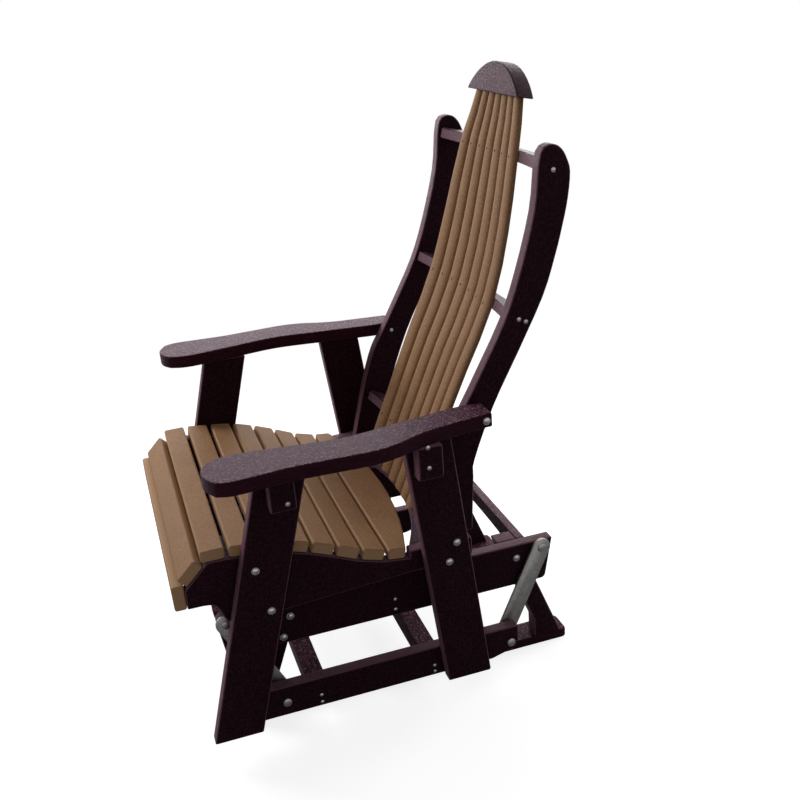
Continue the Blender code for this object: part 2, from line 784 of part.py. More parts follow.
# Arms: long boards with a swelling outline, from a round nose to the uprights
arm_front = leg_y("front", leg_top) - arm_nose
tail_z = arm_under + arm_thick / 2
arm_rear = cross_at(upright_front, 1, tail_z) + arm_tail
arm_run = arm_rear - arm_front
arm_inner = upright_out + gap


def arm_outline(way):
    start = (arm_front, arm_inner)
    size = (arm_run, arm_width)
    tip = share_curve([arm_outer_shares[-1]] + arm_tip_shares + [arm_inner_shares[0]], start, size, 3)
    inner = share_curve(arm_inner_shares, start, size, 3)
    outer = share_curve(arm_outer_shares, start, size, 3)
    tail = [Vector((arm_rear, arm_inner)), Vector((arm_rear, arm_inner + arm_outer_shares[0][1] * arm_width))]
    tail = fillet([inner[-1]] + tail + [outer[0]], [0, arm_round / 3, arm_round, 0], 3)
    return [(way * p[1], p[0]) for p in outer[:-1] + tip[:-1] + inner[:-1] + tail[:-1]]


for side, way in sides:
    plate("arm_" + side, arm_outline(way), 2, arm_under, arm_under + arm_thick, dark_board, seat,
          (way * seat_half, arm_front, arm_under), edge=arm_ease, segments=2)

# Swing arms: a steel bar with its two pivot pins, washers and heads
plate_in = (base_out + side_in) / 2 - arm_plate / 2
plate_out = plate_in + arm_plate


def turned(mesh_data, x_start, x_end, y, z, radius, sides=16):
    """A disc or pin along X."""
    made = bmesh.ops.create_cone(mesh_data, cap_ends=True, segments=sides, radius1=radius, radius2=radius,
                                 depth=abs(x_end - x_start))
    for vertex in made["verts"]:
        x, across, up = vertex.co
        vertex.co = Vector(((x_start + x_end) / 2 + up, y + across, z + x))


def swing_bar_outline(reach_y):
    """Side view of the bar, with round ends about both pivots."""
    length = math.hypot(reach_y, link_drop)
    direction = Vector((reach_y, -link_drop)) / length
    square = Vector((-direction[1], direction[0]))
    points = []
    for centre, start in ((Vector((0.0, 0.0)), math.pi / 2), (direction * length, -math.pi / 2)):
        for i in range(9):
            angle = start + math.pi * i / 8
            points.append(centre + arm_plate_half * (direction * math.cos(angle) + square * math.sin(angle)))
    return points


def joined(name, shapes, place, parent):
    """Union of overlapping shapes into one closed body."""
    first = None
    for i, build_shape in enumerate(shapes):
        mesh_data = bmesh.new()
        build_shape(mesh_data)
        bmesh.ops.recalc_face_normals(mesh_data, faces=mesh_data.faces)
        if i == 0:
            first = finish(name, mesh_data, place, 0.0, steel, parent, 0.0, 1)
            continue
        mesh = bpy.data.meshes.new(name + "_piece")
        mesh_data.to_mesh(mesh)
        mesh_data.free()
        tool = bpy.data.objects.new(name + "_piece_" + str(i), mesh)
        bpy.context.scene.collection.objects.link(tool)
        tool.location = place
        tool.hide_render = True
        tool.display_type = "WIRE"
        bpy.context.view_layer.update()
        adopt(tool, first)
        join = first.modifiers.new("join", "BOOLEAN")
        join.operation = "UNION"
        join.solver = "EXACT"
        join.object = tool
    return first


def swing_arm(name, way, top_y, low_y):
    place = (way * plate_in, top_y, top_pivot_z)
    reach = low_y - top_y

    def bar(mesh_data):
        ring = [mesh_data.verts.new((0.0, p[0], p[1])) for p in swing_bar_outline(reach)]
        face = mesh_data.faces.new(ring)
        grown = bmesh.ops.extrude_face_region(mesh_data, geom=[face])
        moved = [v for v in grown["geom"] if isinstance(v, bmesh.types.BMVert)]
        bmesh.ops.translate(mesh_data, vec=(way * arm_plate, 0.0, 0.0), verts=moved)

    def x_at(value):
        return way * (value - plate_in)

    def top_pin(mesh_data):
        turned(mesh_data, x_at(base_in + gap), x_at(plate_in + arm_plate / 2), 0.0, 0.0, pin_radius)

    def top_washer(mesh_data):
        turned(mesh_data, x_at(base_out + gap), x_at(plate_in + arm_plate / 3), 0.0, 0.0, washer_radius)

    def top_head(mesh_data):
        turned(mesh_data, x_at(plate_out - arm_plate / 3), x_at(plate_out + head_high), 0.0, 0.0, head_radius)

    def low_pin(mesh_data):
        turned(mesh_data, x_at(plate_out - arm_plate / 2), x_at(side_out + gap + head_high / 2), reach,
               -link_drop, pin_radius)

    def low_washer(mesh_data):
        turned(mesh_data, x_at(plate_out - arm_plate / 3), x_at(side_in - gap), reach, -link_drop,
               washer_radius)

    def low_head(mesh_data):
        turned(mesh_data, x_at(side_out + gap), x_at(side_out + gap + head_high), reach, -link_drop,
               head_radius)

    return joined(name, [bar, top_pin, top_washer, top_head, low_pin, low_washer, low_head], place, base)


for side, way in sides:
    swing_arm("swing_arm_front_" + side, way, top_front_y, low_front_y)
    swing_arm("swing_arm_rear_" + side, way, top_rear_y, low_rear_y)
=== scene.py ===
"""Glider chair: plastic boards on a fixed base, with the seat hung from four swinging steel arms.

Metres, +Z up. The chair faces -Y and its left side is +X.
"""
import math

import bmesh
import bpy
from mathutils import Matrix, Vector


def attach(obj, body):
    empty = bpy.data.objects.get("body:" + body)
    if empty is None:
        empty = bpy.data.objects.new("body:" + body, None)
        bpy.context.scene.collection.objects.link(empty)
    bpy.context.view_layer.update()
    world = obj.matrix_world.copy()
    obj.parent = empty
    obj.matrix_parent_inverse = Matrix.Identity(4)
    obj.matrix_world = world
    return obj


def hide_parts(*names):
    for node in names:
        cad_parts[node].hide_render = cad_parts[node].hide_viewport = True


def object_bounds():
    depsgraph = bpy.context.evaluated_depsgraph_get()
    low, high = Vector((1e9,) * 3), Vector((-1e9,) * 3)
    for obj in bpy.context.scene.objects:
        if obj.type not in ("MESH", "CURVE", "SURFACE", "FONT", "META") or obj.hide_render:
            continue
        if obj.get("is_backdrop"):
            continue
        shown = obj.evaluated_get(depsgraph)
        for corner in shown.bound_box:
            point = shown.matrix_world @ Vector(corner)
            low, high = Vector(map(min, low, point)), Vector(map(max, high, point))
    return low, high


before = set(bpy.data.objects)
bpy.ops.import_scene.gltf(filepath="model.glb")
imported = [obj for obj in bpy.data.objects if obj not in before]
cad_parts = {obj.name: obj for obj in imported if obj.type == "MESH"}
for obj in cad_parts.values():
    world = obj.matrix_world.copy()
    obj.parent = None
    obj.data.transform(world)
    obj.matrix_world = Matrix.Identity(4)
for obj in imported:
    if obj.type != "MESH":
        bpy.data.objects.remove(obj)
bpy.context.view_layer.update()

X, Y, Z = (1, 0, 0), (0, 1, 0), (0, 0, 1)
meld = 0.00002           # corners nearer than this are one corner
one_face = math.radians(0.6)       # a smaller bend than this is taken as flat
board_corner = math.radians(52)    # a sharper bend than this is an edge of a board
turned_corner = math.radians(40)   # the same for slats and steel
grain_shift = 0.731      # each board's grain starts this much further on than the last one's
leg_lean, post_lean, upright_lean = (0, 0.26, 1), (0, 0.38, 1), (0, 0.36, 0.93)


# Fixed base: two runners on the floor, four leaning posts, two upper rails and two cross boards.
# They are boards of dark brown recycled polyethylene, cut to shape, with their edges routed round
# and screwed together. The swing arms hang from the upper rails.

def linear(code):
    """An sRGB hex colour as the linear RGBA that a socket takes."""
    parts = [int(code[i:i + 2], 16) / 255 for i in (1, 3, 5)]
    return [p / 12.92 if p <= 0.04045 else ((p + 0.055) / 1.055) ** 2.4 for p in parts] + [1.0]


def add(tree, kind, settings=None, links=None):
    """A node with its settings, by property or socket, and the links into it."""
    made = tree.nodes.new(kind)
    for key, value in (settings or {}).items():
        if isinstance(key, str) and key not in made.inputs:
            setattr(made, key, value)
        else:
            made.inputs[key].default_value = value
    for key, source in (links or {}).items():
        tree.links.new(source, made.inputs[key])
    return made


def cleared(owner):
    """The empty node tree of a material or world."""
    owner.use_nodes = True
    owner.node_tree.nodes.clear()
    return owner.node_tree


def board_plastic(name, colours, painted_edge_tone, pebble, relief, roughness, gloss, glance, haze):
    """Polyethylene board: a rolled face with a pebbled emboss, and routed edges with lengthwise streaks.

    colours are the hollows, the lumps, the clouds over both and the flecks on the highest lumps. The
    hollows are darker than the lumps as painted shade in the emboss, and the pale flecks are painted
    glints. The colour after them is the tone of the routed edges: a painted sheen on the dark boards, a
    painted highlight on the tan ones and painted shade on the arms, cap, sticks and runners. pebble is
    the width of one lump of the emboss in metres. The real one is about 1 mm, which is finer than a
    pixel of the picture, so it is drawn a few times coarser. glance is the tint of what the face
    reflects, and haze is the colour and weight of the pale bloom of the emboss at a low angle.
    """
    made = bpy.data.materials.new(name)
    tree = cleared(made)
    grain = add(tree, "ShaderNodeAttribute", {"attribute_name": "grain"})
    routed = add(tree, "ShaderNodeAttribute", {"attribute_name": "routed"})
    rolled = add(tree, "ShaderNodeMapping", {"Scale": (0.75, 1.0, 1.0)},
                 {"Vector": grain.outputs["Vector"]})
    lumps = add(tree, "ShaderNodeTexNoise", {"Scale": 1 / pebble, "Detail": 3.0, "Roughness": 0.62},
                {"Vector": rolled.outputs[0]})
    pulled = add(tree, "ShaderNodeMapping", {"Scale": (0.03, 1.0, 1.0)},
                 {"Vector": grain.outputs["Vector"]})
    streaks = add(tree, "ShaderNodeTexNoise", {"Scale": 1 / 0.0016, "Detail": 4.0, "Roughness": 0.6},
                  {"Vector": pulled.outputs[0]})
    clouds = add(tree, "ShaderNodeTexNoise", {"Scale": 1 / 0.045, "Detail": 2.0},
                 {"Vector": rolled.outputs[0]})
    height = add(tree, "ShaderNodeMix", {"data_type": "FLOAT"},
                 {0: routed.outputs["Fac"], 2: lumps.outputs["Fac"], 3: streaks.outputs["Fac"]})
    contrast = add(tree, "ShaderNodeMapRange", {1: 0.36, 2: 0.66}, {0: height.outputs[0]})
    mottle = add(tree, "ShaderNodeMapRange", {1: 0.35, 2: 0.65}, {0: clouds.outputs["Fac"]})
    # The hollows of the emboss take the darker colour and the lumps the lighter one: painted shade in
    # the hollows.
    lit = add(tree, "ShaderNodeMix", {"data_type": "RGBA", 6: linear(colours[0]), 7: linear(colours[1])},
              {0: contrast.outputs[0]})
    shade = add(tree, "ShaderNodeMath", {"operation": "MULTIPLY", 1: 0.35}, {0: mottle.outputs[0]})
    dulled = add(tree, "ShaderNodeMix", {"data_type": "RGBA", 7: linear(colours[2])},
                 {0: shade.outputs[0], 6: lit.outputs[2]})
    # Pale flecks on the highest lumps, fewer on the routed edges: painted glints.
    flat = add(tree, "ShaderNodeMapRange", {3: 1.0, 4: 0.15}, {0: routed.outputs["Fac"]})
    painted_glints = add(tree, "ShaderNodeMapRange", {1: 0.53, 2: 0.68},
                {0: height.outputs[0], 4: flat.outputs[0]})
    colour = add(tree, "ShaderNodeMix", {"data_type": "RGBA", 7: linear(colours[3])},
                 {0: painted_glints.outputs[0], 6: dulled.outputs[2]})
    # The routed edges take a tone of their own, which is painted sheen, highlight or shade, after the
    # board.
    cut = add(tree, "ShaderNodeMath", {"operation": "MULTIPLY", 1: 0.7}, {0: routed.outputs["Fac"]})
    colour = add(tree, "ShaderNodeMix", {"data_type": "RGBA", 7: linear(painted_edge_tone)},
                 {0: cut.outputs[0], 6: colour.outputs[2]})
    rough = add(tree, "ShaderNodeMapRange", {3: roughness[0], 4: roughness[1]}, {0: contrast.outputs[0]})
    bump = add(tree, "ShaderNodeBump", {"Strength": 1.0, "Distance": relief},
               {"Height": height.outputs[0]})
    shader = add(tree, "ShaderNodeBsdfPrincipled",
                 {"IOR": 1.5, "Specular IOR Level": gloss, "Specular Tint": linear(glance),
                  "Sheen Weight": haze[1], "Sheen Roughness": 0.4, "Sheen Tint": linear(haze[0])},
                 {"Base Color": colour.outputs[2], "Roughness": rough.outputs[0],
                  "Normal": bump.outputs[0]})
    add(tree, "ShaderNodeOutputMaterial", None, {"Surface": shader.outputs[0]})
    return made


# Dark embossed polyethylene: nearly black brown, satin, so it shows the pale surroundings as a lilac
# sheen where it is seen at a low angle and stays black where it is seen square on. Its faint pale
# flecks are painted glints, and its paler routed edges, which take in the tops and front edges of
# most boards, are a painted sheen.
dark_plastic = board_plastic("dark_embossed_polyethylene_board",
                             ("#10060a", "#36161d", "#150a0d", "#321d24"),
                             "#78555f", 0.0034, 0.0018, (0.30, 0.46), 0.06, "#ffccee", ("#b58fb0", 0.13))


# The arms, the cap, the sticks and the runners are a lit copy of the same board: their lighter lumps
# and the pale specks of the emboss are a painted highlight and painted glints along their tops, and
# their darker routed edges are painted shade.
painted_raking_light_plastic = board_plastic("dark_embossed_polyethylene_board_with_painted_raking_light",
                                 ("#1d0a11", "#56242f", "#260e15", "#937486"),
                                 "#2a1219", 0.0034, 0.0018, (0.30, 0.46), 0.04, "#ffccee",
                                 ("#bd84bc", 0.15))


def node_shape(node):
    """A CAD node's own mesh, with its corners joined."""
    shape = bmesh.new()
    shape.from_mesh(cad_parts[node].data)
    bmesh.ops.remove_doubles(shape, verts=shape.verts, dist=meld)
    return shape


def smooth(shape, corner):
    """Shade smooth, apart from the bends that are sharper than the corner's angle."""
    for edge in shape.edges:
        edge.smooth = len(edge.link_faces) == 2 and edge.calc_face_angle() < corner
    for face in shape.faces:
        face.smooth = True


def close(shape, rings):
    """Faces between rings of as many corners each, and over the first and last ring."""
    for a, b in zip(rings, rings[1:]):
        for i in range(len(a)):
            j = (i + 1) % len(a)
            shape.faces.new((a[i], a[j], b[j], b[i]))
    shape.faces.new(rings[0])
    shape.faces.new(rings[-1])


def link(name, data):
    """A new object in the scene."""
    made = bpy.data.objects.new(name, data)
    bpy.context.scene.collection.objects.link(made)
    return made


def as_mesh(shape, name):
    """The shape as a mesh, after which the shape is freed."""
    mesh = bpy.data.meshes.new(name)
    shape.to_mesh(mesh)
    shape.free()
    return mesh


def finished_board(node, body, along, through, finish, round_over=0.0014):
    """A smooth copy of a CAD board with its grain and its routed edges, riding on its body."""
    shape = node_shape(node)
    bmesh.ops.dissolve_limit(shape, angle_limit=one_face, verts=shape.verts, edges=shape.edges)
    along = Vector(along).normalized()
    through = Vector(through).normalized()
    across = through.cross(along)
    grain = shape.verts.layers.float_vector.new("grain")
    offset = grain_shift * len(bpy.data.meshes)
    for vertex in shape.verts:
        spot = vertex.co
        vertex[grain] = Vector((spot.dot(along) + offset, spot.dot(across), spot.dot(through)))
    shape.normal_update()
    smooth(shape, board_corner)
    square_on = [abs(face.normal.dot(through)) > 0.8 for face in shape.faces]
    mesh = as_mesh(shape, node + "_finished")
    routed = mesh.attributes.new("routed", "FLOAT", "FACE")
    for i, flat in enumerate(square_on):
        routed.data[i].value = 0.0 if flat else 1.0
    mesh.materials.append(finish)
    piece = link(node + "_finished", mesh)
    if round_over:
        router = piece.modifiers.new("routed_edge", "BEVEL")
        router.width = round_over
        router.segments = 3
        router.limit_method = "ANGLE"
        router.angle_limit = board_corner
        router.use_clamp_overlap = round_over < 0.002
    even = piece.modifiers.new("even_shading", "WEIGHTED_NORMAL")
    even.keep_sharp = True
    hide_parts(node)
    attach(piece, body)


def dark_board(node, body, along, through):
    """One of the many plain dark boards."""
    finished_board(node, body, along, through, dark_plastic)


for side in ("left", "right"):
    dark_board("upper_rail_" + side, "base", Y, X)
    dark_board("post_front_" + side, "base", post_lean, X)
    dark_board("post_rear_" + side, "base", (0, -post_lean[1], 1), X)
    finished_board("runner_" + side, "base", Y, Z, painted_raking_light_plastic)
for cross in ("cross_board_rear", "cross_board_middle"):
    dark_board(cross, "base", X, Y)


# Lower seat frame: four wide leaning legs, the lower rails that the swing arms carry, two sticks
# between the rails, the arm brackets and the scooped side boards. Same dark board, bolted through.

for side in ("left", "right"):
    dark_board("leg_front_" + side, "seat", leg_lean, X)
    dark_board("leg_rear_" + side, "seat", (0, -0.1, 1), X)
    dark_board("bracket_front_" + side, "seat", Z, X)
    dark_board("bracket_rear_" + side, "seat", Z, X)
    dark_board("lower_rail_" + side, "seat", Y, X)
    dark_board("side_board_" + side, "seat", Y, X)
for stick in ("stretcher_front", "stretcher_rear"):
    finished_board(stick, "seat", X, Z, painted_raking_light_plastic)


# Seat: eight slats across the side boards, the nosing that turns the corner and the apron below it.
# Tan polyethylene board with rounded edges, matte, with a fine rolled grain along each slat.

# The tan's pale flecks are painted glints, and its paler routed edges and ends are a painted highlight.
tan_plastic = board_plastic("tan_embossed_polyethylene_board",
                            ("#896544", "#9c7553", "#805d3e", "#a68061"),
                            "#b8916d", 0.0026, 0.0003, (0.50, 0.66), 0.08, "#ffffff", ("#f0e0c8", 0.0))

seat_slats = ["seat_slat_" + str(i) for i in range(1, 9)]
for slat in seat_slats:
    finished_board(slat, "seat", X, Z, tan_plastic, 0)
finished_board("nosing_slat", "seat", X, (0, -1, 1), tan_plastic, 0)
finished_board("apron", "seat", X, Y, tan_plastic, 0)


# Back fan: seven tan slats that taper and lean together, crowned in front and bent to the curve of
# the back. They are moulded in the same tan plastic and screwed to three curved rails behind. Each
# is lofted anew on the sections of its CAD board, with a crown that rounds off to both seams.

ring_size, crown_steps, crown_fill, crown_power, seam_lip = 8, 24, 0.97, 2.3, 0.0008


def slat_rings(node):
    """The CAD sections from the foot up, each as its rear left corner, width, depth and crown."""
    shape = node_shape(node)
    points = sorted((v.co.copy() for v in shape.verts), key=lambda p: p.z)
    shape.free()
    rings = []
    for start in range(0, len(points), ring_size):
        ring = sorted(points[start:start + ring_size], key=lambda p: p.x)
        front_left, rear_left = sorted(ring[:2], key=lambda p: p.y)
        rear_right = max(ring[-2:], key=lambda p: p.y)
        edge = front_left - rear_left
        crown = max((p - rear_left).dot(edge.normalized()) for p in ring) - edge.length
        rings.append((rear_left, rear_right - rear_left, edge, crown))
    return rings


def crowned_slat(node, body, finish):
    """The smooth back slat that stands for a CAD one, riding on its body."""
    shape = bmesh.new()
    grain = shape.verts.layers.float_vector.new("grain")
    offset = grain_shift * len(bpy.data.meshes)
    loops = []
    run = 0.0
    before = None
    for rear_left, width, edge, crown in slat_rings(node):
        out = edge.normalized()
        run += (rear_left - before).length if before else 0.0
        before = rear_left
        section = [(0.0, 0.0)]
        high = (edge.length + crown) * crown_fill - seam_lip
        for i in range(crown_steps + 1):
            share = -math.cos(math.pi * i / crown_steps)
            lift = max(0.0, 1 - abs(share) ** crown_power) ** (1 / crown_power)
            section.append(((share + 1) / 2, seam_lip + high * lift))
        section.append((1.0, 0.0))
        loop = []
        for across, depth in section:
            vertex = shape.verts.new(rear_left + width * across + out * depth)
            vertex[grain] = Vector((run + offset, width.length * across, depth))
            loop.append(vertex)
        loops.append(loop)
    close(shape, loops)
    bmesh.ops.recalc_face_normals(shape, faces=shape.faces)
    smooth(shape, turned_corner)
    mesh = as_mesh(shape, node + "_finished")
    mesh.materials.append(finish)
    piece = link(node + "_finished", mesh)
    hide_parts(node)
    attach(piece, body)


for index in range(1, 8):
    crowned_slat("back_slat_" + str(index), "seat", tan_plastic)


# Back frame: the curved uprights, three hollowed rails, the rear seat rail and the cap on the fan.
# Dark board again, sawn to their curves, so their front edges show routed streaks.

for side in ("left", "right"):
    dark_board("upright_" + side, "seat", upright_lean, X)
for rail in ("back_rail_low", "back_rail_middle", "back_rail_high", "rear_seat_rail"):
    dark_board(rail, "seat", X, Z)
finished_board("top_cap", "seat", X, (0, 1, 0.36), painted_raking_light_plastic)


# Arms: long swelling boards on top of the legs and brackets, with well rounded edges.

for side in ("left", "right"):
    finished_board("arm_" + side, "seat", Y, Z, painted_raking_light_plastic, 0.003)


# Swing arms: flat steel bars with round ends, each hung on a shouldered pin at both ends with a
# washer beside it and a domed head. Galvanised, so the grey is dull with a faint cloudy spangle.

def plated_steel(name, colours, spangle, roughness):
    """Dull plated steel with faint crystals, spangle wide in metres, and a fine dust over them."""
    made = bpy.data.materials.new(name)
    tree = cleared(made)
    place = add(tree, "ShaderNodeTexCoord")
    flakes = add(tree, "ShaderNodeTexVoronoi", {"Scale": 1 / spangle},
                 {"Vector": place.outputs["Object"]})
    dust = add(tree, "ShaderNodeTexNoise", {"Scale": 1 / 0.004, "Detail": 4.0},
               {"Vector": place.outputs["Object"]})
    tone = add(tree, "ShaderNodeMix", {"data_type": "FLOAT", 0: 0.5},
               {2: flakes.outputs["Color"], 3: dust.outputs["Fac"]})
    colour = add(tree, "ShaderNodeMix",
                 {"data_type": "RGBA", 6: linear(colours[0]), 7: linear(colours[1])},
                 {0: tone.outputs[0]})
    rough = add(tree, "ShaderNodeMapRange", {3: roughness[0], 4: roughness[1]}, {0: tone.outputs[0]})
    bump = add(tree, "ShaderNodeBump", {"Strength": 0.25, "Distance": 0.0002},
               {"Height": dust.outputs["Fac"]})
    shader = add(tree, "ShaderNodeBsdfPrincipled", {"Metallic": 1.0},
                 {"Base Color": colour.outputs[2], "Roughness": rough.outputs[0],
                  "Normal": bump.outputs[0]})
    add(tree, "ShaderNodeOutputMaterial", None, {"Surface": shader.outputs[0]})
    return made


galvanised = plated_steel("hot_dip_galvanised_steel", ("#7f7c79", "#a4a19d"), 0.006, (0.40, 0.55))

bar_inner, bar_thick, bar_half, bar_ease = 0.2518, 0.006, 0.019, 0.0009
bar_outer = bar_inner + bar_thick
pin_radius, washer_radius, head_radius, head_high = 0.0045, 0.0105, 0.009, 0.005
base_face, rail_inner, rail_outer = 0.2453, 0.2643, 0.2897    # x of the boards' faces
pin_start, air = 0.0251, 0.0003    # how deep a pin starts in the base, and the gap at a face
pivot_rows = {"front": ((-0.3165, 0.2605), (-0.2290, 0.079)),
              "rear": ((0.3225, 0.2605), (0.2350, 0.079))}


def lathe(shape, way, y, z, profile, sides=28):
    """A turned shape about a line along X, from (x, radius) pairs; a radius of 0 closes it."""
    rings = []
    for x, radius in profile:
        count = 1 if radius == 0 else sides
        rings.append([shape.verts.new((way * x, y + radius * math.cos(2 * math.pi * i / sides),
                                       z + radius * math.sin(2 * math.pi * i / sides)))
                      for i in range(count)])
    for a, b in zip(rings, rings[1:]):
        for i in range(sides):
            ring = [a[i % len(a)], a[(i + 1) % len(a)], b[(i + 1) % len(b)], b[i % len(b)]]
            corners = [v for k, v in enumerate(ring) if v not in ring[:k]]
            shape.faces.new(corners)


def dome(start, radius, high, steps=5):
    """Profile of a domed head that stands on x = start."""
    points = [(start, 0.0), (start, radius), (start + high * 0.25, radius)]
    for i in range(1, steps + 1):
        angle = math.pi / 2 * i / steps
        points.append((start + high * (0.25 + 0.75 * math.sin(angle)),
                       radius * math.cos(angle) if i < steps else 0.0))
    return points


def round_bar(shape, way, top, low):
    """The flat bar with round ends and slightly eased edges."""
    top, low = Vector(top), Vector(low)
    run = (low - top).normalized()
    square = Vector((-run[1], run[0]))
    rings = []
    for x, inset in ((0.0, bar_ease), (0.0007, 0.0), (bar_thick - 0.0007, 0.0), (bar_thick, bar_ease)):
        ring = []
        for centre, start in ((top, math.pi / 2), (low, -math.pi / 2)):
            for i in range(19):
                angle = start + math.pi * i / 18
                spot = centre + (bar_half - inset) * (run * math.cos(angle) + square * math.sin(angle))
                ring.append(shape.verts.new((way * (bar_inner + x), spot[0], spot[1])))
        rings.append(ring)
    close(shape, rings)


def barrel(start, end, radius):
    """Profile of a plain round length from start to end."""
    return [(start, 0.0), (start, radius), (end, radius), (end, 0.0)]


for side, way in (("left", 1), ("right", -1)):
    for end, (top, low) in pivot_rows.items():
        shape = bmesh.new()
        round_bar(shape, way, top, low)
        lathe(shape, way, *top, barrel(base_face - pin_start, bar_inner, pin_radius))
        lathe(shape, way, *top, barrel(base_face + air, bar_inner + 0.001, washer_radius))
        lathe(shape, way, *top, dome(bar_outer - 0.0002, head_radius, head_high))
        lathe(shape, way, *low, barrel(bar_outer - 0.001, rail_inner - air, washer_radius))
        lathe(shape, way, *low, barrel(bar_outer - 0.001, rail_outer + 0.002, pin_radius))
        lathe(shape, way, *low, dome(rail_outer + air, head_radius, head_high))
        bmesh.ops.recalc_face_normals(shape, faces=shape.faces)
        smooth(shape, turned_corner)
        mesh = as_mesh(shape, "swing_bar_" + end + "_" + side)
        mesh.materials.append(galvanised)
        bar = link("swing_bar_" + end + "_" + side, mesh)
        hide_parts("swing_arm_" + end + "_" + side)
        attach(bar, "arm_" + end + "_" + side)


# Bolts and screws: zinc-plated domed bolt heads on washers hold the legs, brackets, arms and back
# rails, small pan-head screws the sticks and cross boards, and dark ones the back slats. One Geometry
# Nodes tree makes a head on each marked point and turns it to face out of the board.

zinc = plated_steel("bright_zinc_plated_steel", ("#9c9896", "#bab6b3"), 0.002, (0.26, 0.40))
screw_zinc = plated_steel("dulled_zinc_screw_steel", ("#a09c99", "#bcb8b5"), 0.002, (0.30, 0.44))


def head_tree():
    """The node group that sets a domed head on a washer on each point, facing out."""
    tree = bpy.data.node_groups.new("domed_head_on_washer", "GeometryNodeTree")
    tree.interface.new_socket("Geometry", in_out="INPUT", socket_type="NodeSocketGeometry")
    for label in ("Head radius", "Dome height", "Washer radius", "Washer height"):
        tree.interface.new_socket(label, in_out="INPUT", socket_type="NodeSocketFloat")
    tree.interface.new_socket("Plating", in_out="INPUT", socket_type="NodeSocketMaterial")
    tree.interface.new_socket("Geometry", in_out="OUTPUT", socket_type="NodeSocketGeometry")
    given = add(tree, "NodeGroupInput").outputs
    ball = add(tree, "GeometryNodeMeshUVSphere", {"Segments": 24, "Rings": 12},
               {"Radius": given["Head radius"]})
    flat = add(tree, "ShaderNodeMath", {"operation": "DIVIDE"},
               {0: given["Dome height"], 1: given["Head radius"]})
    squash = add(tree, "ShaderNodeCombineXYZ", {"X": 1.0, "Y": 1.0}, {"Z": flat.outputs[0]})
    lift = add(tree, "ShaderNodeCombineXYZ", None, {"Z": given["Washer height"]})
    domed = add(tree, "GeometryNodeTransform", None,
                {"Geometry": ball.outputs["Mesh"], "Translation": lift.outputs[0],
                 "Scale": squash.outputs[0]})
    ring = add(tree, "GeometryNodeMeshCylinder", {"Vertices": 28},
               {"Radius": given["Washer radius"], "Depth": given["Washer height"]})
    half = add(tree, "ShaderNodeMath", {"operation": "MULTIPLY", 1: 0.5}, {0: given["Washer height"]})
    rise = add(tree, "ShaderNodeCombineXYZ", None, {"Z": half.outputs[0]})
    washer = add(tree, "GeometryNodeTransform", None,
                 {"Geometry": ring.outputs["Mesh"], "Translation": rise.outputs[0]})
    soft = add(tree, "GeometryNodeSetShadeSmooth", None, {"Geometry": domed.outputs[0]})
    head = add(tree, "GeometryNodeJoinGeometry")
    tree.links.new(washer.outputs[0], head.inputs[0])
    tree.links.new(soft.outputs[0], head.inputs[0])
    facing = add(tree, "GeometryNodeInputNamedAttribute",
                 {"data_type": "FLOAT_VECTOR", "Name": "facing"})
    turn = add(tree, "FunctionNodeAlignRotationToVector", {"axis": "Z"},
               {"Vector": facing.outputs["Attribute"]})
    put = add(tree, "GeometryNodeInstanceOnPoints", None,
              {"Points": given["Geometry"], "Instance": head.outputs[0], "Rotation": turn.outputs[0]})
    real = add(tree, "GeometryNodeRealizeInstances", None, {"Geometry": put.outputs[0]})
    look = add(tree, "GeometryNodeSetMaterial", None,
               {"Geometry": real.outputs[0], "Material": given["Plating"]})
    add(tree, "NodeGroupOutput", None, {"Geometry": look.outputs[0]})
    return tree


heads = head_tree()


def fasteners(name, body, spots, plating, sizes):
    """Heads on the spots, each a place and a facing, made into one plain mesh for one body."""
    mesh = bpy.data.meshes.new(name + "_marks")
    mesh.from_pydata([place for place, facing in spots], [], [])
    outward = mesh.attributes.new("facing", "FLOAT_VECTOR", "POINT")
    for i, (place, facing) in enumerate(spots):
        outward.data[i].vector = facing
    marks = link(name + "_marks", mesh)
    maker = marks.modifiers.new("heads", "NODES")
    maker.node_group = heads
    values = dict(zip(("Head radius", "Dome height", "Washer radius", "Washer height"), sizes))
    values["Plating"] = plating
    for item in heads.interface.items_tree:
        if item.in_out == "INPUT" and item.name in values:
            maker[item.identifier] = values[item.name]
    bpy.context.view_layer.update()
    shown = marks.evaluated_get(bpy.context.evaluated_depsgraph_get())
    solid = bpy.data.meshes.new_from_object(shown)
    marks.modifiers.remove(maker)
    bpy.data.objects.remove(marks, do_unlink=True)
    made = link(name, solid)
    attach(made, body)


def slat_screws(node, rail):
    """One spot on the crown of a back slat where it crosses a back rail, and the way it faces."""
    corners = [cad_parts[rail].matrix_world @ v.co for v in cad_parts[rail].data.vertices]
    rail_z = sum(corner.z for corner in corners) / len(corners)
    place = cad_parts[node].matrix_world
    tops = []
    for rear_left, width, edge, crown in slat_rings(node):
        out = edge.normalized()
        tops.append((place @ (rear_left + width / 2 + out * (edge.length + crown) * crown_fill), out))
    for (low, low_out), (high, high_out) in zip(tops, tops[1:]):
        if low.z <= rail_z <= high.z:
            share = (rail_z - low.z) / (high.z - low.z)
            return low.lerp(high, share), low_out.lerp(high_out, share)


def both_sides(rows):
    """Spots on the left half and their mirror images, from (x, y, z) with a facing along X."""
    return [((way * x, y, z), (way * face, 0, 0)) for way in (1, -1) for x, y, z, face in rows]


# Sizes are head radius, dome height, washer radius and washer height.
bolt_size = (0.0058, 0.0034, 0.0074, 0.0012)
small_bolt_size = (0.0033, 0.0020, 0.0043, 0.0008)
screw_size = (0.0034, 0.0018, 0.0036, 0.0004)
slat_screw_size = (0.0022, 0.0006, 0.0026, 0.0002)

